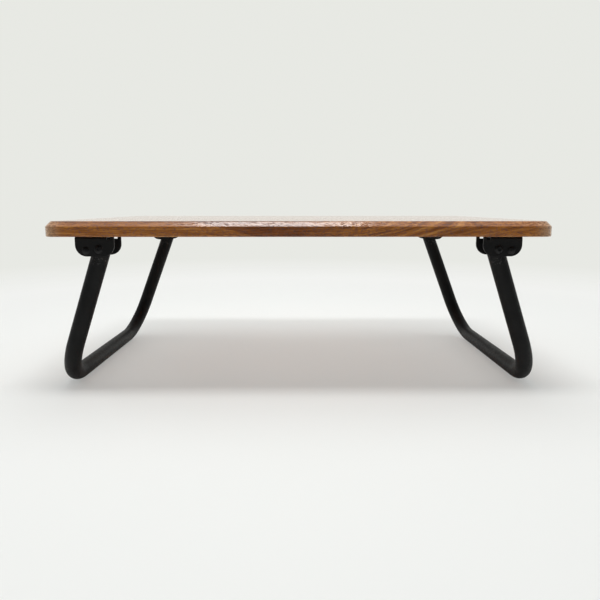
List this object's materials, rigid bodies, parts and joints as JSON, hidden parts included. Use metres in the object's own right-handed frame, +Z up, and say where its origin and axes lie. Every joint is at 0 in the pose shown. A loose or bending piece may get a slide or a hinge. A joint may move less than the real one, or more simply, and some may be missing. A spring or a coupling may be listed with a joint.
{
  "type": "bed tray table",
  "caption": "Low folding tray table: a wooden board with a chamfered top edge on U-shaped tube legs that narrow towards the floor, splay outwards, lean on stop rivets and fold flat under the board.",
  "frame": {"origin": "on the floor under the centre of the board, which is also the centre of the feet", "axes": "+X along the board's length, +Y across it with the front edge at -Y, +Z up"},
  "size_m": [0.6188, 0.4, 0.215],
  "materials": {
    "oiled_wood": "warm brown hardwood, satin oil",
    "black_coated_tube": "satin black powder coat on steel tube",
    "black_coated_sheet": "satin black powder coat on pressed steel",
    "blackened_fastener": "black oxide steel",
    "black_nylon": "matt moulded nylon",
    "screw_steel": "zinc plated"
  },
  "bodies": {
    "board": {"tabletop": "oiled_wood", "front_left_channel": "black_coated_sheet", "front_right_channel": "black_coated_sheet", "rear_left_channel": "black_coated_sheet", "rear_right_channel": "black_coated_sheet", "front_left_pivot_bolt": "blackened_fastener", "front_right_pivot_bolt": "blackened_fastener", "rear_left_pivot_bolt": "blackened_fastener", "rear_right_pivot_bolt": "blackened_fastener", "front_left_lock_nut": "blackened_fastener", "front_right_lock_nut": "blackened_fastener", "rear_left_lock_nut": "blackened_fastener", "rear_right_lock_nut": "blackened_fastener", "front_left_nylon_washers": "black_nylon", "front_right_nylon_washers": "black_nylon", "rear_left_nylon_washers": "black_nylon", "rear_right_nylon_washers": "black_nylon", "front_left_stop_rivet": "blackened_fastener", "front_right_stop_rivet": "blackened_fastener", "rear_left_stop_rivet": "blackened_fastener", "rear_right_stop_rivet": "blackened_fastener", "front_left_wood_screws": "screw_steel", "front_right_wood_screws": "screw_steel", "rear_left_wood_screws": "screw_steel", "rear_right_wood_screws": "screw_steel"},
    "left_leg_frame": {"left_leg": "black_coated_tube"},
    "right_leg_frame": {"right_leg": "black_coated_tube"}
  },
  "joints": [
    {"name": "left_leg_fold", "type": "hinge", "parent": "board", "child": "left_leg_frame", "pos_m": [-0.2365, 0, 0.182], "axis": [0, -1, 0], "range_deg": [0, 110.5]},
    {"name": "right_leg_fold", "type": "hinge", "parent": "board", "child": "right_leg_frame", "pos_m": [0.2365, 0, 0.182], "axis": [0, 1, 0], "range_deg": [0, 110.5]}
  ]
}
